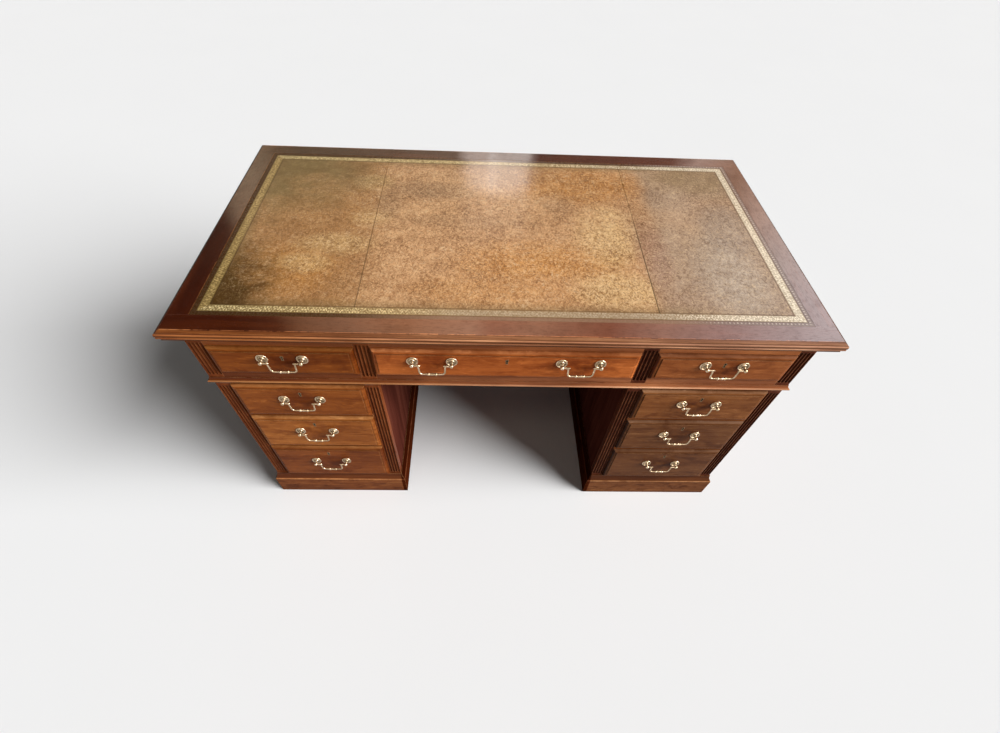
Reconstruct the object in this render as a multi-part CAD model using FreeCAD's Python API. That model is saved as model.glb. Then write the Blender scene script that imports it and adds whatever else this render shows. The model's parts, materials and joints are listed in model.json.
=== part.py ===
import FreeCAD, Part
import math
import os

# A twin pedestal desk in mahogany. A framed top lined with leather stands on a frieze of three
# drawers, and the frieze on two pedestals of three graduated drawers each, with an open kneehole
# between them. X runs to the right, Y to the back and Z up, in millimetres. The origin is on the
# floor under the middle of the top, and the drawers face -Y.

V = FreeCAD.Vector

# The top: a moulded frame round a panel that carries three leather hides
TOP_WIDTH = 1524.0
TOP_DEPTH = 842.0
DESK_HEIGHT = 773.0
TOP_THICK = 28.0
FRAME_WIDTH = 58.0
TENON_LONG = 30.0
TENON_MARGIN = 14.0
TONGUE_LONG = 8.0
TONGUE_THICK = 8.0
LEATHER_THICK = 1.4
LEATHER_GAP = 0.4
HIDE_SEAM_X = 347.0

# The moulded edge of the top, from the upper arris down: step, ovolo, flat, bead and plain foot
ARRIS_DROP = 2.0
ARRIS_FLAT = 1.2
OVOLO_RADIUS = 9.0
OVOLO_FLAT = 2.5
EDGE_QUIRK = 3.0
EDGE_BEAD_HIGH = 8.0
EDGE_BEAD_BULGE = 2.4
EDGE_FOOT_INSET = 6.0

# The frieze under the top
OVERHANG = 32.0
FRIEZE_SILL_HIGH = 14.0
FRIEZE_BOARD_THICK = 21.0
FRIEZE_OPENING_HIGH = 90.0
FRIEZE_RAIL_HIGH = 40.0
INNER_PILASTER_LIP = 3.0
BOARD = 18.0
POST_DEEP = 20.0

# Guides beside the drawers and kickers over the frieze drawers
GUIDE_HIGH = 25.0
KICKER_HIGH = 22.0
KICKER_REACH = 9.0

# The base moulding round the foot of the frieze
BASE_NOSE_OUT = 7.4
BASE_SHOULDER = 5.0
BASE_NOSE_HIGH = 5.0
BASE_TOP_OUT = 1.5
BASE_HOLLOW = 1.2

# The pedestals, with each drawer deeper by one step than the drawer above it
PEDESTAL_SETBACK = 2.0
KNEEHOLE_WIDTH = 643.0
PILASTER_WIDTH = 35.0
TOP_BOARD_THICK = 13.0
DUST_BOARD_THICK = 11.0
DRAWER_STEP = 20.0
BOTTOM_BOARD_THICK = 18.0

# The plinth round the foot of each pedestal
PLINTH_OUT = 12.0
PLINTH_FACE_HIGH = 79.0
PLINTH_MOULD_HIGH = 26.0
PLINTH_STEP = 2.0
PLINTH_TOP_OUT = 2.5
PLINTH_HOLLOW = 2.0

# Flutes cut into the pilasters
FLUTE_COUNT = 4
FLUTE_LAND = 2.2
FLUTE_EDGE = 1.8
FLUTE_MARGIN = 9.0
FRIEZE_FLUTE_RISE = 8.0

# Dowels that locate the frieze on the pedestals
DOWEL_RADIUS = 5.0
DOWEL_COVER = 3.0
DOWEL_INSET = 90.0

# Drawer fronts: a slab with a round edge and a raised field
FRONT_BODY = 14.0
FRONT_GAP = 1.0
FIELD_STEP = 2.0
EDGE_ROUND = 8.0
EDGE_LEDGE = 3.0

# Drawer boxes
DRAWER_BACK_CLEAR = 40.0
SIDE_THICK = 10.0
SIDE_DROP = 4.0
RUN_GAP = 0.3
BOTTOM_THICK = 6.0
BOTTOM_RISE = 8.0
GROOVE_DEEP = 5.0
HOUSING_DEEP = 4.0
BACK_DROP = 6.0
TAIL_LAP = 2.0
TAIL_PITCH = 48.5
TAIL_ROOT_SHARE = 0.42
TAIL_TIP_SHARE = 0.62

# Locks and keyholes
KEYHOLE_DROP = 25.0
KEYHOLE_RADIUS = 2.6
KEYHOLE_NECK = 1.1
KEYHOLE_FOOT = 1.6
KEYHOLE_LONG = 10.0
ESCUTCHEON_WALL = 1.4
ESCUTCHEON_DEEP = 5.0
ESCUTCHEON_PROUD = 0.4
LOCK_WIDE = 44.0
LOCK_HIGH = 40.0
LOCK_THICK = 10.0
LOCK_PLATE = 2.0
BOLT_WIDE = 16.0
BOLT_HIGH = 20.0
BOLT_THICK = 4.0
BOLT_SINK = 0.4
BOLT_THROW = 7.0
BOLT_CLEAR = 0.2
MORTISE_CLEAR = 1.0

# Handles: two turned posts on dished rosettes carry a swinging bail
POST_SPACING = 93.0
HANDLE_RISE = 14.0
CENTRE_HANDLE_X = 177.0
PIVOT_OUT = 15.0
ROSETTE_RADIUS = 14.0
ROSETTE_THICK = 4.4
ROSETTE_EDGE = 1.2
ROSETTE_RIM_WIDE = 3.4
ROSETTE_RIM_HIGH = 3.0
ROSETTE_DISH_HIGH = 1.0
ROSETTE_CROWN = 5.4
SHANK_RADIUS = 2.5
COLLAR_RADIUS = 4.6
COLLAR_THICK = 1.0
NECK_RADIUS = 2.7
NECK_BEAD_RADIUS = 3.7
NECK_BEAD_LONG = 2.8
BALL_RADIUS = 5.0
NUT_SIZE = 10.0
NUT_THICK = 4.0
SHANK_SPARE = 1.5
TURNED_FIT = 0.05
PIN_RADIUS = 1.5
PIN_SHORT = 1.0
BAIL_RADIUS = 2.2
BAIL_CLEAR = 0.4
SHOULDER_RADIUS = 2.5
SHOULDER_LONG = 9.3
EAR_LONG = 4.5
EAR_TIP_RADIUS = 0.9
BAIL_DROP = 29.0
BAIL_LEAN = -4.5
BAIL_CORNER = 8.0
GRIP_LONG = 28.0
GRIP_COLLAR = 5.0
GRIP_COLLAR_RADIUS = 4.0
GRIP_NECK_RADIUS = 2.7
GRIP_SWELL_RADIUS = 3.3

# Places worked out from the sizes above
top_x = TOP_WIDTH / 2
top_y = TOP_DEPTH / 2
top_under = DESK_HEIGHT - TOP_THICK
leather_under = DESK_HEIGHT - LEATHER_THICK
inner_x = top_x - FRAME_WIDTH
inner_y = top_y - FRAME_WIDTH
frieze_x = top_x - OVERHANG
frieze_y = top_y - OVERHANG
frieze_opening_top = top_under - FRIEZE_RAIL_HIGH
frieze_opening_foot = frieze_opening_top - FRIEZE_OPENING_HIGH
sill_top = frieze_opening_foot - FRIEZE_BOARD_THICK
pedestal_top = sill_top - FRIEZE_SILL_HIGH
pedestal_x = frieze_x - PEDESTAL_SETBACK
pedestal_y = frieze_y - PEDESTAL_SETBACK
knee_x = KNEEHOLE_WIDTH / 2
opening_in = knee_x + PILASTER_WIDTH
opening_out = pedestal_x - PILASTER_WIDTH
centre_opening_x = knee_x - INNER_PILASTER_LIP
carcass_top = pedestal_top - TOP_BOARD_THICK
plinth_top = PLINTH_FACE_HIGH + PLINTH_MOULD_HIGH
lower_foot = plinth_top + FRONT_GAP
pedestal_openings = carcass_top - lower_foot - 2 * DUST_BOARD_THICK
middle_opening = pedestal_openings / 3
upper_foot = carcass_top - middle_opening + DRAWER_STEP
middle_top = upper_foot - DUST_BOARD_THICK
middle_foot = middle_top - middle_opening
lower_top = middle_foot - DUST_BOARD_THICK
frieze_behind_posts = -frieze_y + POST_DEEP
pedestal_behind_posts = -pedestal_y + POST_DEEP


def box(x0, x1, y0, y1, z0, z1):
    """A block between two corners, given in either order."""
    low = V(min(x0, x1), min(y0, y1), min(z0, z1))
    return Part.makeBox(abs(x1 - x0), abs(y1 - y0), abs(z1 - z0), low)


def prism(points, sweep):
    """A straight prism on a flat outline of straight sides."""
    return Part.Face(Part.makePolygon(points + points[:1])).extrude(sweep)


def line(start, end):
    return Part.LineSegment(start, end).toShape()


def arc(start, middle, end):
    return Part.Arc(start, middle, end).toShape()


def turned(edges, centre, axis):
    """A solid turned on a lathe from half of its section."""
    return Part.Face(Part.Wire(edges)).revolve(centre, axis, 360)


def save(node, solids):
    """Writes one node, a single solid or a group of separate ones."""
    shape = solids[0] if len(solids) == 1 else Part.makeCompound(solids)
    shape.exportStep("parts/" + node + ".step")


def edge_section(half):
    """Section of the moulded top across its full width, in the XZ plane."""
    arris = half - OVOLO_RADIUS - ARRIS_FLAT
    step_z = DESK_HEIGHT - ARRIS_DROP
    ovolo_x = half - OVOLO_RADIUS
    ovolo_z = step_z - OVOLO_RADIUS
    slope = OVOLO_RADIUS * math.sqrt(0.5)
    quirk_x = half - EDGE_QUIRK
    quirk_z = ovolo_z - OVOLO_FLAT
    bead_z = quirk_z - EDGE_BEAD_HIGH
    foot_x = half - EDGE_FOOT_INSET
    right = [
        [(0, DESK_HEIGHT), (arris, DESK_HEIGHT)],
        [(arris, DESK_HEIGHT), (arris, step_z)],
        [(arris, step_z), (ovolo_x, step_z)],
        [(ovolo_x, step_z), (ovolo_x + slope, ovolo_z + slope), (half, ovolo_z)],
        [(half, ovolo_z), (half, quirk_z)],
        [(half, quirk_z), (quirk_x, quirk_z)],
        [(quirk_x, quirk_z), (quirk_x + EDGE_BEAD_BULGE, (quirk_z + bead_z) / 2), (quirk_x, bead_z)],
        [(quirk_x, bead_z), (foot_x, bead_z)],
        [(foot_x, bead_z), (foot_x, top_under)],
        [(foot_x, top_under), (0, top_under)],
    ]
    edges = []
    for side in (1, -1):
        for segment in right:
            points = [V(side * x, 0, z) for x, z in segment]
            edges.append(line(*points) if len(points) == 2 else arc(*points))
    return Part.Face(Part.Wire(Part.__sortEdges__(edges)))


def make_top():
    """Frame rails with the edge moulded all round, the panel between them and the hides."""
    across = edge_section(top_x)
    across.translate(V(0, -top_y, 0))
    along = edge_section(top_y)
    along.rotate(V(0, 0, 0), V(0, 0, 1), 90)
    along.translate(V(-top_x, 0, 0))
    slab = across.extrude(V(0, TOP_DEPTH, 0)).common(along.extrude(V(TOP_WIDTH, 0, 0)))

    tongue_z = (top_under + leather_under - TONGUE_THICK) / 2
    tongue_x = inner_x + TONGUE_LONG
    tongue_y = inner_y + TONGUE_LONG
    tongue = box(-tongue_x, tongue_x, -tongue_y, tongue_y, tongue_z, tongue_z + TONGUE_THICK)
    panel = box(-inner_x, inner_x, -inner_y, inner_y, top_under, leather_under).fuse(tongue)

    rails = []
    tenons = []
    tenon_y = inner_y + TENON_LONG
    for side in (1, -1):
        end = slab.common(box(side * inner_x, side * top_x, -inner_y, inner_y, top_under, DESK_HEIGHT))
        tenon_in = side * (tongue_x + TONGUE_LONG)
        tenon_out = side * (top_x - TENON_MARGIN)
        tenon = box(tenon_in, tenon_out, -tenon_y, tenon_y, tongue_z, tongue_z + TONGUE_THICK)
        tenons.append(tenon)
        rails.append(end.fuse(tenon).cut(tongue).removeSplitter())
    for side in (1, -1):
        long_rail = slab.common(box(-top_x, top_x, side * inner_y, side * top_y, top_under, DESK_HEIGHT))
        rails.append(long_rail.cut([tongue] + tenons))
    save("top_frame", rails)
    save("top_panel", [panel.removeSplitter()])

    hide_x = inner_x - LEATHER_GAP
    hide_y = inner_y - LEATHER_GAP
    seam = LEATHER_GAP / 2
    spans = [
        (-hide_x, -HIDE_SEAM_X - seam),
        (-HIDE_SEAM_X + seam, HIDE_SEAM_X - seam),
        (HIDE_SEAM_X + seam, hide_x),
    ]
    save("leather_hides", [box(a, b, -hide_y, hide_y, leather_under, DESK_HEIGHT) for a, b in spans])


def pilaster(x0, x1, front, z0, z1, flute_foot, flute_top):
    """A post with round-ended flutes down its front face."""
    post = box(x0, x1, front, front + POST_DEEP, z0, z1)
    middle = (x0 + x1) / 2
    lands = 2 * FLUTE_EDGE + (FLUTE_COUNT - 1) * FLUTE_LAND
    radius = (x1 - x0 - lands) / FLUTE_COUNT / 2
    pitch = 2 * radius + FLUTE_LAND
    low = flute_foot + radius
    high = flute_top - radius
    slope = radius * math.sqrt(0.5)
    flutes = []
    for i in range(FLUTE_COUNT):
        x = middle + (i - (FLUTE_COUNT - 1) / 2) * pitch
        edges = [
            line(V(x, front, flute_foot), V(x, front, flute_top)),
            arc(V(x, front, flute_top), V(x + slope, front, high + slope), V(x + radius, front, high)),
            line(V(x + radius, front, high), V(x + radius, front, low)),
            arc(V(x + radius, front, low), V(x + slope, front, low - slope), V(x, front, flute_foot)),
        ]
        flutes.append(turned(edges, V(x, front, 0), V(0, 0, 1)))
    return post.cut(flutes)


def mitred_ring(section, x0, x1, y0, y1, reach):
    """Four mitred lengths of moulding round a block. section gives the edges in (out, up)."""
    lengths = []
    sides = [
        (V(x0, y0, 0), V(x1, y0, 0)),
        (V(x1, y0, 0), V(x1, y1, 0)),
        (V(x1, y1, 0), V(x0, y1, 0)),
        (V(x0, y1, 0), V(x0, y0, 0)),
    ]
    low = min(point[1] for edge in section for point in edge)
    high = max(point[1] for edge in section for point in edge)
    for start, end in sides:
        run = (end - start).normalize()
        out = V(run.y, -run.x, 0)
        edges = []
        for edge in section:
            points = [start - run * reach + out * p[0] + V(0, 0, p[1]) for p in edge]
            edges.append(line(*points) if len(points) == 2 else arc(*points))
        stick = Part.Face(Part.Wire(edges)).extrude(end - start + run * (2 * reach))
        plan = [
            start,
            start - run * reach + out * reach,
            end + run * reach + out * reach,
            end,
        ]
        mitre = prism([p + V(0, 0, low) for p in plan], V(0, 0, high - low))
        lengths.append(stick.common(mitre))
    return lengths


def dowel_places():
    """Middles of the locating dowels, at the front and back of both pedestals."""
    front_y = -pedestal_y + POST_DEEP / 2
    back_y = pedestal_y - BOARD / 2
    places = []
    for side in (-1, 1):
        for x in (knee_x + DOWEL_INSET, pedestal_x - DOWEL_INSET):
            places.append((side * x, front_y))
            places.append((side * x, back_y))
    return places


def dowels(radius):
    foot = carcass_top + DOWEL_COVER
    head = sill_top - DOWEL_COVER
    return [Part.makeCylinder(radius, head - foot, V(x, y, foot)) for x, y in dowel_places()]


def bolt_mortise(x, plane, under):
    """The hole over a drawer's lock that its bolt rises into."""
    y = plane + FRONT_BODY - LOCK_THICK / 2
    wide = BOLT_WIDE / 2 + MORTISE_CLEAR
    thick = BOLT_THICK / 2 + MORTISE_CLEAR
    return box(x - wide, x + wide, y - thick, y + thick, under, under + BOLT_THROW)


def make_frieze():
    """The case of three drawers under the top."""
    side_middle = (opening_in + opening_out) / 2
    partition_x = (centre_opening_x + opening_in) / 2
    end_in = frieze_x - BOARD
    back_in = frieze_y - BOARD
    openings = [
        (-opening_out, -opening_in),
        (-centre_opening_x, centre_opening_x),
        (opening_in, opening_out),
    ]
    post_spans = [
        (-frieze_x, -opening_out),
        (-opening_in, -centre_opening_x),
        (centre_opening_x, opening_in),
        (opening_out, frieze_x),
    ]

    holes = dowels(DOWEL_RADIUS + TURNED_FIT)
    sill = box(-frieze_x, frieze_x, -frieze_y, frieze_behind_posts, pedestal_top, sill_top).cut(holes)
    back = box(-end_in, end_in, back_in, frieze_y, pedestal_top, top_under).cut(holes)
    notches = [box(a, b, -frieze_y, frieze_behind_posts, sill_top, top_under) for a, b in post_spans]
    floor = box(-end_in, end_in, -frieze_y, back_in, sill_top, frieze_opening_foot).cut(notches)
    case = [sill, back, floor]
    for side in (-1, 1):
        case.append(box(
            side * end_in, side * frieze_x, frieze_behind_posts, frieze_y, pedestal_top, top_under))
        near = side * (partition_x - BOARD / 2)
        far = side * (partition_x + BOARD / 2)
        case.append(box(near, far, frieze_behind_posts, back_in, frieze_opening_foot, top_under))
    for (a, b), x in zip(openings, (-side_middle, 0.0, side_middle)):
        rail = box(a, b, -frieze_y, frieze_behind_posts, frieze_opening_top, top_under)
        case.append(rail.cut(bolt_mortise(x, -frieze_y, frieze_opening_top)))
    save("frieze_case", case)

    runners = []
    guide_top = frieze_opening_foot + GUIDE_HIGH
    kicker_top = frieze_opening_top + KICKER_HIGH
    for side in (-1, 1):
        walls = [
            (partition_x - BOARD / 2, centre_opening_x, -1),
            (partition_x + BOARD / 2, opening_in, 1),
            (end_in, opening_out, -1),
        ]
        for wall, opening, inward in walls:
            reach = opening + inward * KICKER_REACH
            runners.append(box(
                side * wall, side * opening, frieze_behind_posts, back_in, frieze_opening_foot, guide_top))
            runners.append(box(
                side * wall, side * reach, frieze_behind_posts, back_in, frieze_opening_top, kicker_top))
    save("frieze_runners", runners)

    nose_top = pedestal_top + BASE_NOSE_HIGH
    nose_z = (pedestal_top + nose_top) / 2
    hollow = ((BASE_SHOULDER + BASE_TOP_OUT) / 2 - BASE_HOLLOW, (nose_top + sill_top) / 2)
    section = [
        [(0, pedestal_top), (BASE_SHOULDER, pedestal_top)],
        [(BASE_SHOULDER, pedestal_top), (BASE_NOSE_OUT, nose_z), (BASE_SHOULDER, nose_top)],
        [(BASE_SHOULDER, nose_top), hollow, (BASE_TOP_OUT, sill_top)],
        [(BASE_TOP_OUT, sill_top), (0, sill_top)],
        [(0, sill_top), (0, pedestal_top)],
    ]
    save("frieze_base_moulding", mitred_ring(
        section, -frieze_x, frieze_x, -frieze_y, frieze_y, BASE_NOSE_OUT))

    flute_top = frieze_opening_top + FRIEZE_FLUTE_RISE
    return [
        pilaster(a, b, -frieze_y, sill_top, top_under, sill_top + FLUTE_MARGIN, flute_top)
        for a, b in post_spans
    ]


def make_pedestal(name, side):
    """One pedestal case with its boards, guides and plinth. Returns its two pilasters."""
    side_in = pedestal_x - BOARD
    knee_in = knee_x + BOARD
    back_in = pedestal_y - BOARD
    opening_middle = side * (opening_in + opening_out) / 2
    board_foot = lower_foot - BOTTOM_BOARD_THICK

    def board(z0, z1):
        """A board that fills the case, with its front edge showing between the pilasters."""
        shelf = box(side * knee_in, side * side_in, pedestal_behind_posts, back_in, z0, z1)
        lip = box(side * opening_in, side * opening_out, -pedestal_y, pedestal_behind_posts, z0, z1)
        return shelf.fuse(lip).removeSplitter()

    top = box(side * knee_x, side * pedestal_x, -pedestal_y, pedestal_y, carcass_top, pedestal_top)
    top = top.cut(dowels(DOWEL_RADIUS + TURNED_FIT))
    case = [
        box(side * side_in, side * pedestal_x, pedestal_behind_posts, pedestal_y, 0, carcass_top),
        box(side * knee_x, side * knee_in, pedestal_behind_posts, pedestal_y, 0, carcass_top),
        box(side * knee_in, side * side_in, back_in, pedestal_y, 0, carcass_top),
        box(side * knee_x, side * pedestal_x, -pedestal_y, pedestal_behind_posts, 0, board_foot),
        board(board_foot, lower_foot),
        top.cut(bolt_mortise(opening_middle, -pedestal_y, carcass_top)),
    ]
    save(name + "_pedestal_case", case)

    runners = [
        board(lower_top, middle_foot).cut(bolt_mortise(opening_middle, -pedestal_y, lower_top)),
        board(middle_top, upper_foot).cut(bolt_mortise(opening_middle, -pedestal_y, middle_top)),
    ]
    for foot in (lower_foot, middle_foot, upper_foot):
        for wall, opening in ((knee_in, opening_in), (side_in, opening_out)):
            runners.append(box(
                side * wall, side * opening, pedestal_behind_posts, back_in, foot, foot + GUIDE_HIGH))
    save(name + "_pedestal_runners", runners)

    shoulder = PLINTH_OUT - PLINTH_STEP
    hollow = ((shoulder + PLINTH_TOP_OUT) / 2 - PLINTH_HOLLOW, (PLINTH_FACE_HIGH + plinth_top) / 2)
    section = [
        [(0, 0), (PLINTH_OUT, 0)],
        [(PLINTH_OUT, 0), (PLINTH_OUT, PLINTH_FACE_HIGH)],
        [(PLINTH_OUT, PLINTH_FACE_HIGH), (shoulder, PLINTH_FACE_HIGH + PLINTH_STEP)],
        [(shoulder, PLINTH_FACE_HIGH + PLINTH_STEP), hollow, (PLINTH_TOP_OUT, plinth_top)],
        [(PLINTH_TOP_OUT, plinth_top), (0, plinth_top)],
        [(0, plinth_top), (0, 0)],
    ]
    x0, x1 = sorted((side * knee_x, side * pedestal_x))
    save(name + "_plinth", mitred_ring(section, x0, x1, -pedestal_y, pedestal_y, PLINTH_OUT))

    spans = [(side * knee_x, side * opening_in), (side * opening_out, side * pedestal_x)]
    flute_foot = plinth_top + FLUTE_MARGIN
    flute_top = carcass_top - FLUTE_MARGIN
    return [
        pilaster(min(a, b), max(a, b), -pedestal_y, board_foot, carcass_top, flute_foot, flute_top)
        for a, b in spans
    ]


def keyhole(x, y, z, wall, deep):
    """A keyhole-shaped plug, larger by wall all round, from y towards the back."""
    radius = KEYHOLE_RADIUS + wall
    neck = KEYHOLE_NECK + wall
    foot = KEYHOLE_FOOT + wall
    neck_z = z - math.sqrt(radius ** 2 - neck ** 2)
    foot_z = z - KEYHOLE_LONG - wall
    outline = [
        line(V(x - foot, y, foot_z), V(x - neck, y, neck_z)),
        arc(V(x - neck, y, neck_z), V(x, y, z + radius), V(x + neck, y, neck_z)),
        line(V(x + neck, y, neck_z), V(x + foot, y, foot_z)),
        line(V(x + foot, y, foot_z), V(x - foot, y, foot_z)),
    ]
    return Part.Face(Part.Wire(outline)).extrude(V(0, deep, 0))


def rosette(x, face, z):
    """A dished round plate with a raised rim, behind a handle post."""
    hole = SHANK_RADIUS + TURNED_FIT
    inner_rim = ROSETTE_RADIUS - ROSETTE_RIM_WIDE
    middle_rim = ROSETTE_RADIUS - ROSETTE_RIM_WIDE / 2
    middle_dish = (inner_rim + ROSETTE_CROWN) / 2

    def at(radius, rise):
        return V(x + radius, face - rise, z)

    rim_edge = at(ROSETTE_RADIUS, ROSETTE_EDGE)
    dish_edge = at(inner_rim, ROSETTE_DISH_HIGH)
    crown_edge = at(ROSETTE_CROWN, ROSETTE_THICK)
    edges = [
        line(at(hole, 0), at(ROSETTE_RADIUS, 0)),
        line(at(ROSETTE_RADIUS, 0), rim_edge),
        arc(rim_edge, at(middle_rim, ROSETTE_RIM_HIGH), dish_edge),
        arc(dish_edge, at(middle_dish, ROSETTE_DISH_HIGH), crown_edge),
        line(crown_edge, at(hole, ROSETTE_THICK)),
        line(at(hole, ROSETTE_THICK), at(hole, 0)),
    ]
    return turned(edges, V(x, 0, z), V(0, 1, 0))


def handle_post(x, face, inside, z):
    """A turned post with a ball, drilled across for the bail, and a shank through the drawer front."""
    shank_end = face - inside - NUT_THICK - SHANK_SPARE
    collar = ROSETTE_THICK + COLLAR_THICK
    neck_end = PIVOT_OUT - math.sqrt(BALL_RADIUS ** 2 - NECK_RADIUS ** 2)
    bead_middle = (collar + neck_end) / 2
    bead_start = bead_middle - NECK_BEAD_LONG / 2
    bead_end = bead_middle + NECK_BEAD_LONG / 2

    def at(radius, out):
        return V(x + radius, face - out, z)

    edges = [
        line(at(0, shank_end), at(SHANK_RADIUS, shank_end)),
        line(at(SHANK_RADIUS, shank_end), at(SHANK_RADIUS, ROSETTE_THICK)),
        line(at(SHANK_RADIUS, ROSETTE_THICK), at(COLLAR_RADIUS, ROSETTE_THICK)),
        line(at(COLLAR_RADIUS, ROSETTE_THICK), at(COLLAR_RADIUS, collar)),
        line(at(COLLAR_RADIUS, collar), at(NECK_RADIUS, bead_start)),
        arc(at(NECK_RADIUS, bead_start), at(NECK_BEAD_RADIUS, bead_middle), at(NECK_RADIUS, bead_end)),
        line(at(NECK_RADIUS, bead_end), at(NECK_RADIUS, neck_end)),
        arc(at(NECK_RADIUS, neck_end), at(BALL_RADIUS, PIVOT_OUT), at(0, PIVOT_OUT + BALL_RADIUS)),
        line(at(0, PIVOT_OUT + BALL_RADIUS), at(0, shank_end)),
    ]
    eye = Part.makeCylinder(
        PIN_RADIUS + TURNED_FIT, 2 * BALL_RADIUS, at(-BALL_RADIUS, PIVOT_OUT), V(1, 0, 0))
    return turned(edges, V(x, 0, z), V(0, 1, 0)).cut(eye)


def bail(x, face, z):
    """The swinging handle: pins, shoulders with pointed ears, leaning arms and a grip with two beads."""
    start = POST_SPACING / 2 - BALL_RADIUS - BAIL_CLEAR
    arm_x = start - SHOULDER_LONG
    lean = math.radians(BAIL_LEAN)
    corner_z = BAIL_CORNER * (1 + math.sin(lean)) - BAIL_DROP
    corner_x = arm_x - corner_z * math.tan(lean)
    turn_x = corner_x - BAIL_CORNER * math.cos(lean)
    turn_z = BAIL_CORNER - BAIL_DROP
    half_turn = (lean - math.pi / 2) / 2
    turn_middle = (turn_x + BAIL_CORNER * math.cos(half_turn), turn_z + BAIL_CORNER * math.sin(half_turn))
    half_grip = GRIP_LONG / 2
    bead_end = half_grip - GRIP_COLLAR / 2
    swell_end = bead_end - GRIP_COLLAR
    swell_middle = GRIP_SWELL_RADIUS - (GRIP_SWELL_RADIUS - GRIP_NECK_RADIUS) / 4
    pin_long = BAIL_CLEAR + 2 * BALL_RADIUS - PIN_SHORT

    def at(side, px, pz):
        return V(x + side * px, face - PIVOT_OUT, z + pz)

    pieces = []
    for side in (-1, 1):
        arm = Part.Wire([
            line(at(side, arm_x, 0), at(side, corner_x, corner_z)),
            arc(at(side, corner_x, corner_z), at(side, *turn_middle), at(side, turn_x, -BAIL_DROP)),
            line(at(side, turn_x, -BAIL_DROP), at(side, 0, -BAIL_DROP)),
        ])
        down = at(side, corner_x, corner_z) - at(side, arm_x, 0)
        ring = Part.Wire(Part.makeCircle(BAIL_RADIUS, at(side, arm_x, 0), down))
        pieces.append(arm.makePipeShell([ring], True, True))
        pieces.append(Part.makeCylinder(PIN_RADIUS, pin_long, at(side, start, 0), V(side, 0, 0)))
        pieces.append(turned([
            line(at(side, start, 0), at(side, start, SHOULDER_RADIUS)),
            line(at(side, start, SHOULDER_RADIUS), at(side, arm_x - EAR_LONG / 2, SHOULDER_RADIUS)),
            line(at(side, arm_x - EAR_LONG / 2, SHOULDER_RADIUS), at(side, arm_x - EAR_LONG, EAR_TIP_RADIUS)),
            line(at(side, arm_x - EAR_LONG, EAR_TIP_RADIUS), at(side, arm_x - EAR_LONG, 0)),
            line(at(side, arm_x - EAR_LONG, 0), at(side, start, 0)),
        ], at(side, 0, 0), V(1, 0, 0)))
        profile = [
            [(0, 0), (0, GRIP_SWELL_RADIUS)],
            [(0, GRIP_SWELL_RADIUS), (swell_end / 2, swell_middle), (swell_end, GRIP_NECK_RADIUS)],
            [(swell_end, GRIP_NECK_RADIUS), ((swell_end + bead_end) / 2, GRIP_COLLAR_RADIUS),
             (bead_end, GRIP_NECK_RADIUS)],
            [(bead_end, GRIP_NECK_RADIUS), (half_grip, GRIP_NECK_RADIUS)],
            [(half_grip, GRIP_NECK_RADIUS), (half_grip, 0)],
            [(half_grip, 0), (0, 0)],
        ]
        edges = []
        for segment in profile:
            points = [at(side, px, radius - BAIL_DROP) for px, radius in segment]
            edges.append(line(*points) if len(points) == 2 else arc(*points))
        pieces.append(turned(edges, at(side, 0, -BAIL_DROP), V(1, 0, 0)))
    return pieces[0].fuse(pieces[1:]).removeSplitter()


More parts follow.
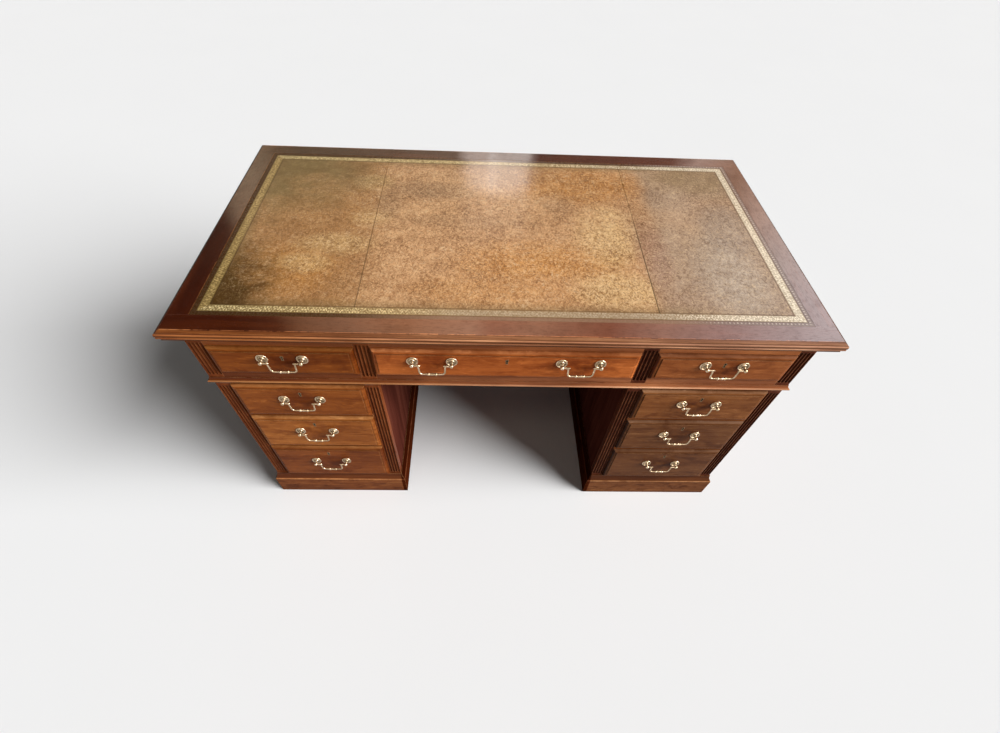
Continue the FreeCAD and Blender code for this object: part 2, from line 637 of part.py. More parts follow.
def make_drawer(name, x0, x1, z0, z1, case_y, handle_offsets):
    """A drawer in the opening x0..x1, z0..z1 of a case that reaches from -case_y to case_y."""
    face = -case_y - FIELD_STEP - EDGE_ROUND
    inside = -case_y + FRONT_BODY
    left = x0 + FRONT_GAP
    right = x1 - FRONT_GAP
    foot = z0 + FRONT_GAP
    head = z1 - FRONT_GAP
    middle_x = (x0 + x1) / 2
    handle_z = (z0 + z1) / 2 + HANDLE_RISE
    far = case_y - BOARD - DRAWER_BACK_CLEAR
    rim_wide = EDGE_ROUND + EDGE_LEDGE

    slab = box(left, right, face + FIELD_STEP, inside, foot, head)
    rim_y = min(e.CenterOfMass.y for e in slab.Edges)
    rim = [e for e in slab.Edges if math.isclose(e.CenterOfMass.y, rim_y)]
    field = box(left + rim_wide, right - rim_wide, face, face + FIELD_STEP, foot + rim_wide, head - rim_wide)
    front = slab.makeFillet(EDGE_ROUND, rim).fuse(field).removeSplitter()

    side_foot = z0 + RUN_GAP
    side_head = z1 - SIDE_DROP
    bottom_z = side_foot + BOTTOM_RISE
    groove_x0 = left + SIDE_THICK - GROOVE_DEEP
    groove_x1 = right - SIDE_THICK + GROOVE_DEEP
    bottom = box(groove_x0, groove_x1, inside - GROOVE_DEEP, far, bottom_z, bottom_z + BOTTOM_THICK)
    back = box(left + SIDE_THICK - HOUSING_DEEP, right - SIDE_THICK + HOUSING_DEEP, far - SIDE_THICK, far,
               bottom_z + BOTTOM_THICK, side_head - BACK_DROP)
    tail_count = math.ceil((head - foot) / TAIL_PITCH)
    tail_pitch = (side_head - foot) / tail_count
    root = tail_pitch * TAIL_ROOT_SHARE / 2
    tip = tail_pitch * TAIL_TIP_SHARE / 2
    tip_y = inside - FRONT_BODY + TAIL_LAP
    sides = []
    for edge in (left, right - SIDE_THICK):
        tails = []
        for i in range(tail_count):
            z = foot + tail_pitch * (i + 0.5)
            tails.append(prism([
                V(edge, inside, z - root),
                V(edge, inside, z + root),
                V(edge, tip_y, z + tip),
                V(edge, tip_y, z - tip),
            ], V(SIDE_THICK, 0, 0)))
        plank = box(edge, edge + SIDE_THICK, inside, far, side_foot, side_head).fuse(tails)
        sides.append(plank.removeSplitter().cut([bottom, back]))

    key_z = head - KEYHOLE_DROP
    lining_y = face - ESCUTCHEON_PROUD
    lining = keyhole(middle_x, lining_y, key_z, ESCUTCHEON_WALL, ESCUTCHEON_PROUD + ESCUTCHEON_DEEP)
    key_way = keyhole(middle_x, lining_y, key_z, 0, inside - LOCK_PLATE - lining_y)
    lock_y = inside - LOCK_THICK
    half_lock = LOCK_WIDE / 2
    case = box(middle_x - half_lock, middle_x + half_lock, lock_y, inside, head - LOCK_HIGH, head)
    bolt_y = lock_y + LOCK_THICK / 2
    half_bolt = BOLT_WIDE / 2
    bolt_top = head - BOLT_SINK
    bolt_foot = bolt_top - BOLT_HIGH
    bolt = box(middle_x - half_bolt, middle_x + half_bolt, bolt_y - BOLT_THICK / 2, bolt_y + BOLT_THICK / 2,
               bolt_foot, bolt_top)
    slot = box(middle_x - half_bolt - BOLT_CLEAR, middle_x + half_bolt + BOLT_CLEAR,
               bolt_y - BOLT_THICK / 2 - BOLT_CLEAR, bolt_y + BOLT_THICK / 2 + BOLT_CLEAR,
               bolt_foot - BOLT_CLEAR, head)

    fittings = [lining.cut(key_way), case.cut([slot, key_way])]
    cuts = sides + [bottom, lining, key_way, case]
    bails = []
    for offset in handle_offsets:
        for side in (-1, 1):
            x = middle_x + offset + side * POST_SPACING / 2
            fittings.append(rosette(x, face, handle_z))
            fittings.append(handle_post(x, face, inside, handle_z))
            bore = Part.makeCylinder(
                SHANK_RADIUS + TURNED_FIT, inside + NUT_THICK - face, V(x, face, handle_z), V(0, 1, 0))
            nut = box(x - NUT_SIZE / 2, x + NUT_SIZE / 2, inside, inside + NUT_THICK,
                      handle_z - NUT_SIZE / 2, handle_z + NUT_SIZE / 2)
            fittings.append(nut.cut(bore))
            cuts.append(bore)
        bails.append(bail(middle_x + offset, face, handle_z))
    save(name + "_front", [front.cut(cuts)])
    save(name + "_box", sides + [back, bottom])
    save(name + "_fittings", fittings)
    save(name + "_lock_bolt", [bolt])
    if len(bails) == 1:
        save(name + "_bail", bails)
    else:
        save(name + "_left_bail", bails[:1])
        save(name + "_right_bail", bails[1:])


os.makedirs("parts", exist_ok=True)

make_top()
pilasters = make_frieze()
pilasters += make_pedestal("left", -1)
pilasters += make_pedestal("right", 1)
save("pilasters", pilasters)
save("locating_dowels", dowels(DOWEL_RADIUS))

make_drawer("centre_frieze_drawer", -centre_opening_x, centre_opening_x,
            frieze_opening_foot, frieze_opening_top, frieze_y, (-CENTRE_HANDLE_X, CENTRE_HANDLE_X))
for name, side in (("left", -1), ("right", 1)):
    x0, x1 = sorted((side * opening_in, side * opening_out))
    make_drawer(name + "_frieze_drawer", x0, x1, frieze_opening_foot, frieze_opening_top, frieze_y, (0,))
    make_drawer(name + "_upper_drawer", x0, x1, upper_foot, carcass_top, pedestal_y, (0,))
    make_drawer(name + "_middle_drawer", x0, x1, middle_foot, middle_top, pedestal_y, (0,))
    make_drawer(name + "_lower_drawer", x0, x1, lower_foot, lower_top, pedestal_y, (0,))
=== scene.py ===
import bpy
import json
import math
from collections import namedtuple
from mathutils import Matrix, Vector

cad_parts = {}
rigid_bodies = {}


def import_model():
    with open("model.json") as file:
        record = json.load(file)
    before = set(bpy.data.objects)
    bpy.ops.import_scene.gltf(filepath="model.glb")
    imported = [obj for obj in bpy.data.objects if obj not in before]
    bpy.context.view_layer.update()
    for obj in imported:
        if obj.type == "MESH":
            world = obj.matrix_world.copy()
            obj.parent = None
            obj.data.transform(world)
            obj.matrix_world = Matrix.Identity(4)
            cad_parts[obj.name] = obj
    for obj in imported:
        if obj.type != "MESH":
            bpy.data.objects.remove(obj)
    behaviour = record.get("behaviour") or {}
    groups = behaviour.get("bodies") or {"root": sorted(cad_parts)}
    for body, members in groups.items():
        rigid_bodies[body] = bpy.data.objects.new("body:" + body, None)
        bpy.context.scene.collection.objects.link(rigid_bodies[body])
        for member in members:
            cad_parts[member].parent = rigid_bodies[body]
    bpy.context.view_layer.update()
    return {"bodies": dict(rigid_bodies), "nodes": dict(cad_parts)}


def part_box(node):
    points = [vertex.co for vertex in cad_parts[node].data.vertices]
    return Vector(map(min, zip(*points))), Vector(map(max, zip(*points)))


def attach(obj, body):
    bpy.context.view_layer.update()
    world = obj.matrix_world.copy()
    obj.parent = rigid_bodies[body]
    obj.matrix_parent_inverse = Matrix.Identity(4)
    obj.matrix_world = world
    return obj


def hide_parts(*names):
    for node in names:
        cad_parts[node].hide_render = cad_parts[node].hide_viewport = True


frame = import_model()
nodes = frame["nodes"]

# The two pedestal cases are mahogany boards glued up with the grain upright, stained and French
# polished. Only the outer sides, the kneehole sides, the back and the front edges of the boards show.


class Finish:
    """A socket of a finish's nodes. Sums on it add Math nodes, and node() adds any other kind."""

    def __init__(self, tree, socket=None):
        self.tree = tree
        self.socket = socket

    def node(self, kind, settings=None, values=None, out=0):
        made = self.tree.nodes.new("ShaderNode" + kind)
        for key, value in (settings or {}).items():
            if key == "stops":
                ramp = made.color_ramp.elements
                while len(ramp) < len(value):
                    ramp.new(1.0)
                for stop, (position, colour) in zip(ramp, value):
                    stop.position = position
                    stop.color = (*colour, 1.0)
            else:
                setattr(made, key, value)
        for key, value in (values or {}).items():
            if isinstance(value, Finish):
                self.tree.links.new(value.socket, made.inputs[key])
            else:
                made.inputs[key].default_value = value
        return Finish(self.tree, made.outputs[out])

    def sum(self, operation, first, second=0.0):
        return self.node("Math", {"operation": operation}, {0: first, 1: second})

    def __add__(self, other):
        return self.sum("ADD", self, other)

    def __radd__(self, other):
        return self.sum("ADD", other, self)

    def __sub__(self, other):
        return self.sum("SUBTRACT", self, other)

    def __rsub__(self, other):
        return self.sum("SUBTRACT", other, self)

    def __mul__(self, other):
        return self.sum("MULTIPLY", self, other)

    def __rmul__(self, other):
        return self.sum("MULTIPLY", other, self)

    def __truediv__(self, other):
        return self.sum("DIVIDE", self, other)

    def __gt__(self, other):
        return self.sum("GREATER_THAN", self, other)

    def __lt__(self, other):
        return self.sum("LESS_THAN", self, other)

    def __abs__(self):
        return self.sum("ABSOLUTE", self)

    def least(self, other):
        return self.sum("MINIMUM", self, other)

    def most(self, other):
        return self.sum("MAXIMUM", self, other)

    def wave(self):
        return self.sum("SINE", self)

    def rise(self, low, high):
        """0 below low, 1 above high and smooth between them, or the other way where low is the larger."""
        start, end = (0.0, 1.0) if low < high else (1.0, 0.0)
        return self.node("MapRange", {"interpolation_type": "SMOOTHSTEP"},
                         {0: self, 1: min(low, high), 2: max(low, high), 3: start, 4: end})

    def strip(self, low, high, soft):
        """1 between low and high, with soft edges."""
        return self.rise(low - soft, low + soft) * self.rise(high + soft, high - soft)

    def vector(self, x, y, z):
        return self.node("CombineXYZ", None, {0: x, 1: y, 2: z})

    def noise(self, place, scale, detail=4.0, rough=0.55, twist=0.0):
        return self.node("TexNoise", None, {"Vector": place, "Scale": scale, "Detail": detail,
                                            "Roughness": rough, "Distortion": twist})

    def mix(self, first, second, share, blend="MIX"):
        return self.node("Mix", {"data_type": "RGBA", "blend_type": blend}, {0: share, 6: first, 7: second}, 2)


def colour(red, green, blue):
    return (red, green, blue, 1.0)


def new_finish(name):
    """A new material, its Principled shader and a Finish to start its nodes from."""
    material = bpy.data.materials.new(name)
    material.use_nodes = True
    return material, material.node_tree.nodes["Principled BSDF"], Finish(material.node_tree)


def join(value, shader, socket):
    value.tree.links.new(value.socket, shader.inputs[socket])


def dress(material, *names):
    """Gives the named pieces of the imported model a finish."""
    for name in names:
        nodes[name].data.materials.clear()
        nodes[name].data.materials.append(material)


WoodSpot = namedtuple("WoodSpot", "x y z facing_x facing_y facing_z")


def mahogany(name, dark, middle, light, worn, run, rough, gloss, tints_and_painted_light=(), bright=None):
    """Polished mahogany. run gives the coordinates along, across and over the grain. The list after gloss gives
    places where the colour is changed, some for faded or darker wood and many for painted light and shade,
    each with the change to its red, green and blue, and bright gives the share of a last coat of polish."""
    material, shader, start = new_finish(name)
    place = start.node("TexCoord", out="Object")
    facing = start.node("TexCoord", out="Normal")
    at = WoodSpot(*(start.node("SeparateXYZ", None, {0: place}, i) for i in range(3)),
                  *(start.node("SeparateXYZ", None, {0: facing}, i) for i in range(3)))
    along, across, over = run(at)

    broad = start.noise(start.vector(along * 1.6, across * 11.0, over * 11.0), 1.0, 3.0, 0.5, 0.6)
    streak = start.noise(start.vector(along * 4.0, across * 70.0, over * 70.0), 1.0, 5.0, 0.6, 0.5)
    pore = start.noise(start.vector(along * 70.0, across * 1500.0, over * 1500.0), 1.0, 2.0, 0.5)
    pores = pore.rise(0.56, 0.70)
    stain = start.noise(place, 3.5, 3.0, 0.6)

    tone = broad * 0.5 + streak * 0.5
    wood = tone.node("ValToRGB", {"stops": [(0.34, dark), (0.50, middle), (0.66, light)]}, {0: tone})
    wood = start.mix(wood, colour(*dark), stain.rise(0.48, 0.75) * 0.45)
    wood = start.mix(wood, colour(*[c * 0.4 for c in dark]), pores * 0.45)

    for where, change in tints_and_painted_light:
        changed = start.node("VectorMath", {"operation": "MULTIPLY"}, {0: wood, 1: change})
        wood = start.mix(wood, changed, where(at))

    rounded = start.node("Bevel", {"samples": 4}, {"Radius": 0.0022})
    flat = start.node("NewGeometry", out="Normal")
    turned = start.node("VectorMath", {"operation": "DOT_PRODUCT"}, {0: rounded, 1: flat}, "Value")
    rub = ((1.0 - turned) * 3.5).least(1.0) * start.noise(place, 45.0, 4.0, 0.6).rise(0.30, 0.60)
    wood = start.mix(wood, colour(*worn), rub * 0.55)
    # Painted shade, with some dirt: the wood is darkened in the grooves, steps and hollows that little open sky
    # reaches.
    open_sky = start.node("AmbientOcclusion", {"samples": 6, "only_local": True}, {"Distance": 0.010}, "AO")
    shade_and_dirt_in_hollows = ((1.0 - open_sky) * 1.5).least(1.0)
    wood = start.mix(wood, colour(*[c * 0.25 for c in dark]), shade_and_dirt_in_hollows * 0.75)

    join(wood, shader, "Base Color")
    join((streak - 0.5) * 0.22 + rough + shade_and_dirt_in_hollows * 0.25 + pores * 0.12, shader, "Roughness")
    shader.inputs["Specular IOR Level"].default_value = gloss
    if bright:
        fine = start.noise(start.vector(along * 60.0, across * 260.0, over * 260.0), 1.0, 3.0, 0.6)
        join(bright(at) * (1.0 - fine.rise(0.50, 0.66) * 0.24), shader, "Coat Weight")
        shader.inputs["Coat Roughness"].default_value = 0.05
        shader.inputs["Coat IOR"].default_value = 1.9
    relief = start.node("Bump", None, {"Strength": 0.25, "Distance": 0.0004,
                                       "Height": streak * 0.5 - pores * 0.6, "Normal": rounded})
    join(relief, shader, "Normal")
    return material


def grain_along(at):
    """Grain that runs across the desk, and front to back on the faces at its ends."""
    end = abs(at.facing_x) > 0.6
    return at.x + (at.y - at.x) * end, at.y + (at.x - at.y) * end, at.z


def grain_upright(at):
    return at.z, at.x, at.y


# The kneehole sides of the cases are darker and bluer: partly old polish kept dark out of the sun, partly painted
# shade.
def kneehole_dark_polish_and_shade(at):
    return abs(at.x).rise(0.336, 0.330) * abs(at.facing_x).rise(0.4, 0.7)


# Painted shade: the right ends of the desk, which face the lamp, are darkened.
def right_end_painted_shade(at):
    return at.x.rise(0.60, 0.62) * at.facing_x.rise(0.5, 0.8)


def outside_kneehole(at):
    return abs(at.x).rise(0.330, 0.336) * 0.30


case_polish = mahogany("case_mahogany", (0.065, 0.015, 0.005), (0.125, 0.031, 0.010), (0.190, 0.054, 0.017),
                       (0.26, 0.095, 0.035), grain_upright, 0.32, 0.0,
                       [(kneehole_dark_polish_and_shade, (0.64, 0.64, 1.25)), (right_end_painted_shade, (0.58, 0.52, 0.50))], outside_kneehole)
dress(case_polish, "left_pedestal_case", "right_pedestal_case")

# The plinths, the moulding round the frieze's foot and the boards between drawers are solid mahogany,
# planed to shape in lengths with the grain along them and mitred at the corners.

def mottle(at, wide, deep, tall, detail, rough, twist=0.0, shift=0.0):
    """Cloudy marks on the wood, with so many to the metre along the desk, front to back and upwards."""
    return at.x.noise(at.x.vector(at.x * wide + shift, at.y * deep, at.z * tall), 1.0, detail, rough, twist)


# Painted reflection: the front of the frieze case and its moulding grow paler and greyer toward the right.
def painted_sheen_toward_right(at):
    front = at.y.rise(-0.20, -0.36) * abs(at.facing_x).rise(0.8, 0.5)
    return at.x.rise(-0.40, 0.10) * at.z.rise(0.50, 0.58) * front


# Painted shade in the cove at the top of the plinths.
def painted_shade_in_cove(at):
    return at.z.strip(0.0815, 0.1060, 0.0010)


# The top arris of the plinths is paler: rubbed in places, with a painted highlight.
def plinth_arris_wear_and_highlight(at):
    rubbed = mottle(at, 40.0, 40.0, 1.0, 3.0, 0.7)
    return at.z.strip(0.0765, 0.0808, 0.0006) * (rubbed.rise(0.30, 0.60) * 0.6 + 0.4)


# Painted light: the front of the frieze under the top, where the overhang's shadow falls, is made paler.
def painted_light_under_top(at):
    return at.z.rise(0.698, 0.708) * (0.0 - at.facing_y).rise(0.5, 0.8)


# Painted highlight along the upper side of the nose of the moulding under the frieze.
def painted_highlight_on_nose(at):
    return at.z.strip(0.5804, 0.5852, 0.0006) * (0.0 - at.facing_z).rise(0.6, 0.1)


# Painted shade in the hollow of the moulding above its nose, deeper toward the left.
def painted_shade_in_hollow(at):
    return at.z.strip(0.5856, 0.6145, 0.0006) * (at.x.rise(-0.05, -0.40) * 0.7 + 0.3)


# Dark knocks on the plinths, and darker along their lowest centimetre next to the floor.
def knocks_and_darker_foot(at):
    knocks = mottle(at, 24.0, 24.0, 60.0, 4.0, 0.65)
    return at.z.rise(0.082, 0.080) * knocks.rise(0.48, 0.66).most(at.z.rise(0.012, 0.002))


def rubs_of_plinth(at):
    rubs = mottle(at, 15.0, 15.0, 48.0, 4.0, 0.7, 0.6, 7.0)
    return at.z.rise(0.080, 0.077) * rubs.rise(0.54, 0.70)


# Painted shade: the plinths and mouldings low inside the kneehole are darkened.
def kneehole_foot_painted_shade(at):
    return abs(at.x).rise(0.3225, 0.3205) * at.z.rise(0.45, 0.40)


# Painted haze: the right plinth is made paler and greyer.
def right_plinth(at):
    return at.x.rise(0.30, 0.34) * at.z.rise(0.12, 0.11)


def moulding_sheen(at):
    return (1.0 - kneehole_foot_painted_shade(at)) * 0.10


moulding_polish = mahogany("moulding_mahogany", (0.100, 0.024, 0.005), (0.190, 0.052, 0.012),
                           (0.300, 0.096, 0.024), (0.62, 0.300, 0.130), grain_along, 0.30, 0.0,
                           [(kneehole_foot_painted_shade, (0.30, 0.20, 0.24)),
                            (painted_sheen_toward_right, (1.72, 2.08, 3.35)),
                            (painted_light_under_top, (1.4, 1.3, 1.0)),
                            (painted_highlight_on_nose, (1.9, 2.7, 3.8)),
                            (painted_shade_in_hollow, (0.66, 0.51, 0.37)),
                            (knocks_and_darker_foot, (0.58, 0.50, 0.42)),
                            (rubs_of_plinth, (1.45, 1.75, 2.10)),
                            (painted_shade_in_cove, (0.50, 0.42, 0.38)),
                            (plinth_arris_wear_and_highlight, (2.4, 3.4, 5.0)),
                            (right_plinth, (1.05, 1.25, 1.50)),
                            (right_end_painted_shade, (0.50, 0.44, 0.42))], moulding_sheen)
dress(moulding_polish, "left_plinth", "right_plinth", "frieze_base_moulding", "frieze_case",
      "left_pedestal_runners", "right_pedestal_runners")

# The pilasters are straight-grained posts, glued to the front corners and partitions and worked with a
# round plane into stopped flutes. They have kept more of their dark old polish than the flat faces.

# Painted shade and haze: the pilasters on the right are darker and greyer.
def right_pilasters_painted_shade_and_haze(at):
    return at.x.rise(0.0, 0.20)


pilaster_polish = mahogany("pilaster_mahogany", (0.090, 0.019, 0.0055), (0.165, 0.038, 0.0100),
                           (0.240, 0.064, 0.017), (0.52, 0.220, 0.090), grain_upright, 0.28, 0.015,
                           [(right_pilasters_painted_shade_and_haze, (0.56, 0.58, 0.95))])
dress(pilaster_polish, "pilasters")

# The drawer runners, kickers, linings, dowels and the panel under the leather are plain oak, left
# unpolished, and browned by age and handling.

oak, oak_shader, start = new_finish("plain_oak")
place = start.node("TexCoord", out="Object")
facing = start.node("TexCoord", out="Normal")
x, y, z = (start.node("SeparateXYZ", None, {0: place}, i) for i in range(3))
faces_front = abs(start.node("SeparateXYZ", None, {0: facing}, 1)) > 0.6
along = y + (x - y) * faces_front
across = x + (y - x) * faces_front
ring = start.noise(start.vector(along * 2.2, across * 38.0, z * 38.0), 1.0, 5.0, 0.6, 0.8)
fleck = start.noise(start.vector(along * 45.0, across * 700.0, z * 700.0), 1.0, 2.0, 0.5)
dust = start.noise(place, 6.0, 4.0, 0.6)
shade = start.node("ValToRGB", {"stops": [(0.32, (0.20, 0.115, 0.050)), (0.52, (0.36, 0.225, 0.105)),
                                          (0.70, (0.46, 0.31, 0.155))]}, {0: ring})
shade = start.mix(shade, colour(0.13, 0.075, 0.035), fleck.rise(0.57, 0.70) * 0.5)
shade = start.mix(shade, colour(0.16, 0.095, 0.048), dust.rise(0.50, 0.78) * 0.55)
join(shade, oak_shader, "Base Color")
join((dust - 0.5) * 0.3 + 0.62, oak_shader, "Roughness")
join(start.node("Bump", None, {"Strength": 0.3, "Distance": 0.0005, "Height": ring - fleck * 0.5}),
     oak_shader, "Normal")
drawers = [body for body in frame["bodies"] if body.endswith("_drawer")]
dress(oak, "frieze_runners", "locating_dowels", "top_panel", *[drawer + "_box" for drawer in drawers])

# The drawer fronts are picked boards of redder mahogany with a raised field. Their round edges are lengths of
# moulding mitred at the corners, rubbed paler by hands and cloths. The upper rounds carry painted sheen, the
# lower rounds and the rounds at the kneehole ends painted shade, the centre frieze front painted light and the
# right-hand fronts painted shade and haze.

# Painted sheen on the rounds at the tops of the fronts, which face up.
def painted_sheen_on_upper_round(at):
    return at.facing_z.rise(0.20, 0.65)


# Painted shade on the rounds at the feet of the fronts, which face down.
def painted_shade_on_lower_round(at):
    return (0.0 - at.facing_z).rise(0.20, 0.65)


# Painted shade on the left-facing rounds of the right-hand fronts, at the kneehole.
def painted_shade_on_inner_round(at):
    return (0.0 - at.facing_x).rise(0.25, 0.65) * at.x.rise(0.30, 0.36)


# Painted shade on the right-facing rounds of the left-hand fronts, at the kneehole.
def painted_shade_on_far_round(at):
    return at.facing_x.rise(0.25, 0.65) * at.x.rise(-0.30, -0.36)


def smoky(at):
    return mottle(at, 9.0, 1.0, 26.0, 5.0, 0.65, 0.8).rise(0.46, 0.66)


def flamed(at):
    return mottle(at, 16.0, 1.0, 90.0, 4.0, 0.7, 1.2, 3.0).rise(0.52, 0.68)


def dirt_and_shadow_round_handles(at):
    """The places round the handles, darkened by old polish and dirt left under the hands and by painted shadow of
    the bails.
    """
    dirt_and_shade = at.x * 0.0
    for name in nodes:
        if name.endswith("_bail"):
            low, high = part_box(name)
            from_x = (at.x - (low.x + high.x) / 2) / 0.060
            from_z = (at.z - (low.z + high.z) / 2 - 0.004) / 0.034
            dirt_and_shade = dirt_and_shade.most((from_x * from_x + from_z * from_z).rise(1.5, 0.2))
    return dirt_and_shade * mottle(at, 30.0, 1.0, 45.0, 3.0, 0.6).rise(0.25, 0.60)


def board(left, right, foot, head):
    """The front of one drawer or a few, told by the space they stand in."""
    def where(at):
        return at.x.strip(left, right, 0.002) * at.z.strip(foot, head, 0.002)
    return where


left_edge, left_partition, right_partition, right_edge = -0.80, -0.34, 0.34, 0.80
# Painted light on the centre frieze front, which lies in the shadow of the top's overhang.
centre_frieze_painted_light = board(left_partition, right_partition, 0.60, 0.72)
left_frieze_front = board(left_edge, left_partition, 0.60, 0.72)
# Painted haze: the right frieze front is made paler and greyer.
right_frieze_painted_haze = board(right_partition, right_edge, 0.60, 0.72)
left_middle_front = board(left_edge, left_partition, 0.27, 0.43)
left_lower_front = board(left_edge, left_partition, 0.05, 0.27)
# Painted shade and haze: the fronts of the right pedestal are made darker and greyer.
right_upper_painted_shade_and_haze = board(right_partition, right_edge, 0.43, 0.58)
right_lower_painted_shade_and_haze = board(right_partition, right_edge, 0.05, 0.43)
front_polish = mahogany("front_mahogany", (0.190, 0.047, 0.0080), (0.265, 0.072, 0.0125),
                        (0.340, 0.102, 0.020), (0.58, 0.270, 0.110), grain_along, 0.30, 0.035,
                        [(painted_sheen_on_upper_round, (1.20, 1.60, 2.6)),
                         (painted_shade_on_lower_round, (0.70, 0.66, 0.70)),
                         (painted_shade_on_inner_round, (0.40, 0.36, 0.50)),
                         (dirt_and_shadow_round_handles, (0.62, 0.52, 0.45)),
                         (painted_shade_on_far_round, (0.66, 0.58, 0.52)),
                         (smoky, (0.66, 0.57, 0.51)),
                         (flamed, (1.38, 1.54, 1.75)),
                         (centre_frieze_painted_light, (1.80, 1.75, 2.10)),
                         (left_frieze_front, (0.80, 0.72, 0.56)),
                         (right_frieze_painted_haze, (1.15, 1.24, 1.85)),
                         (left_middle_front, (1.22, 1.38, 1.50)),
                         (left_lower_front, (0.72, 0.65, 0.62)),
                         (right_upper_painted_shade_and_haze, (0.80, 0.98, 1.5)),
                         (right_lower_painted_shade_and_haze, (0.52, 0.66, 1.15))])
dress(front_polish, *[drawer + "_front" for drawer in drawers])

# The handles, rosettes, keyhole linings and lock cases are cast and turned brass, polished bright where
# hands and dusters reach and brown with old polish in the hollows. The lock bolts are plain steel.

brass, brass_shader, start = new_finish("old_brass")
place = start.node("TexCoord", out="Object")
cloud = start.noise(place, 90.0, 4.0, 0.6)
fine_place = start.node("VectorMath", {"operation": "MULTIPLY"}, {0: place, 1: (900.0, 220.0, 900.0)})
scratch = start.noise(fine_place, 1.0, 2.0)
open_sky = start.node("AmbientOcclusion", {"samples": 6, "only_local": True}, {"Distance": 0.005}, "AO")
hollow = (((1.0 - open_sky) * 1.5).least(1.0) * (cloud * 0.8 + 0.5)).least(1.0)
metal = start.mix(colour(0.76, 0.60, 0.42), colour(0.48, 0.36, 0.22), cloud.rise(0.35, 0.65))
metal = start.mix(metal, colour(0.055, 0.040, 0.018), hollow * 0.9)
facing = start.node("TexCoord", out="Normal")
# Painted shade: the flat brass faces that look straight out to the front are darkened.
flat_front_painted_shade = (0.0 - start.node("SeparateXYZ", None, {0: facing}, 1)).rise(0.965, 0.995)
metal = start.mix(metal, colour(0.17, 0.095, 0.040), flat_front_painted_shade * 0.85)
join(metal, brass_shader, "Base Color")
brass_shader.inputs["Metallic"].default_value = 1.0
join(cloud * 0.16 + scratch * 0.08 + 0.17 + hollow * 0.25, brass_shader, "Roughness")
join(start.node("Bump", None, {"Strength": 0.10, "Distance": 0.0002, "Height": cloud + scratch * 0.4}),
     brass_shader, "Normal")
dress(brass, *[drawer + "_fittings" for drawer in drawers], *[name for name in nodes if name.endswith("_bail")])

steel, steel_shader, start = new_finish("lock_steel")
place = start.node("TexCoord", out="Object")
fine_place = start.node("VectorMath", {"operation": "MULTIPLY"}, {0: place, 1: (90.0, 90.0, 2500.0)})
file_marks = start.noise(fine_place, 1.0, 2.0)
rust = start.noise(place, 160.0, 4.0, 0.65)
join(start.mix(colour(0.42, 0.40, 0.38), colour(0.16, 0.085, 0.045), rust.rise(0.50, 0.72)),
     steel_shader, "Base Color")
steel_shader.inputs["Metallic"].default_value = 1.0
join(file_marks * 0.2 + rust * 0.3 + 0.2, steel_shader, "Roughness")
dress(steel, *[drawer + "_lock_bolt" for drawer in drawers])

# The frame of the top is darker mahogany with a moulded edge. The front and back rails run the full
# width, and the end rails are tenoned between them.

leather_low, leather_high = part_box("leather_hides")
top_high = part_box("top_frame")[1]


def grain_of_frame(at):
    end_rail = (abs(at.x) > leather_high.x) * (abs(at.y) < leather_high.y)
    return at.x + (at.y - at.x) * end_rail, at.y + (at.x - at.y) * end_rail, at.z


def from_edge(at):
    """How far a place lies in from the outer edge of the top."""
    return (top_high.x - abs(at.x)).least(top_high.y - abs(at.y))


def moulded_edge(at):
    return from_edge(at).rise(0.0104, 0.0098)


def worn_and_highlit_arris(at):
    rubbed = mottle(at, 60.0, 60.0, 1.0, 3.0, 0.7)
    not_at_ends = (top_high.x - abs(at.x)) > 0.0130
    return from_edge(at).strip(0.0103, 0.0122, 0.0004) * rubbed.rise(0.35, 0.60) * not_at_ends


def dirt_and_shade_in_step(at):
    return from_edge(at).strip(0.0086, 0.0100, 0.0004)


# A band at one height of the moulded edge, for painted light or shade.
def painted_band_on_edge(foot, head, soft):
    def where(at):
        return at.z.strip(foot, head, soft) * from_edge(at).rise(0.0096, 0.0090)
    return where


def edge_of_ends(at):
    return ((top_high.x - abs(at.x)) < (top_high.y - abs(at.y))) * moulded_edge(at)


def edge_painted_sheen_to_right(at):
    return at.x.rise(0.05, 0.60) * moulded_edge(at)


def upper_face(at):
    worn = mottle(at, 22.0, 22.0, 1.0, 4.0, 0.65)
    flat = at.facing_z.rise(0.80, 0.97) * from_edge(at).rise(0.0098, 0.0104)
    return flat * (worn.rise(0.30, 0.55) * 0.2 + 0.8)


def left_rail_painted_shade(at):
    return at.x.rise(-0.25, -0.62) * from_edge(at).rise(0.0122, 0.0126)


def edge_painted_shade_to_left(at):
    return at.x.rise(-0.10, -0.62) * moulded_edge(at)


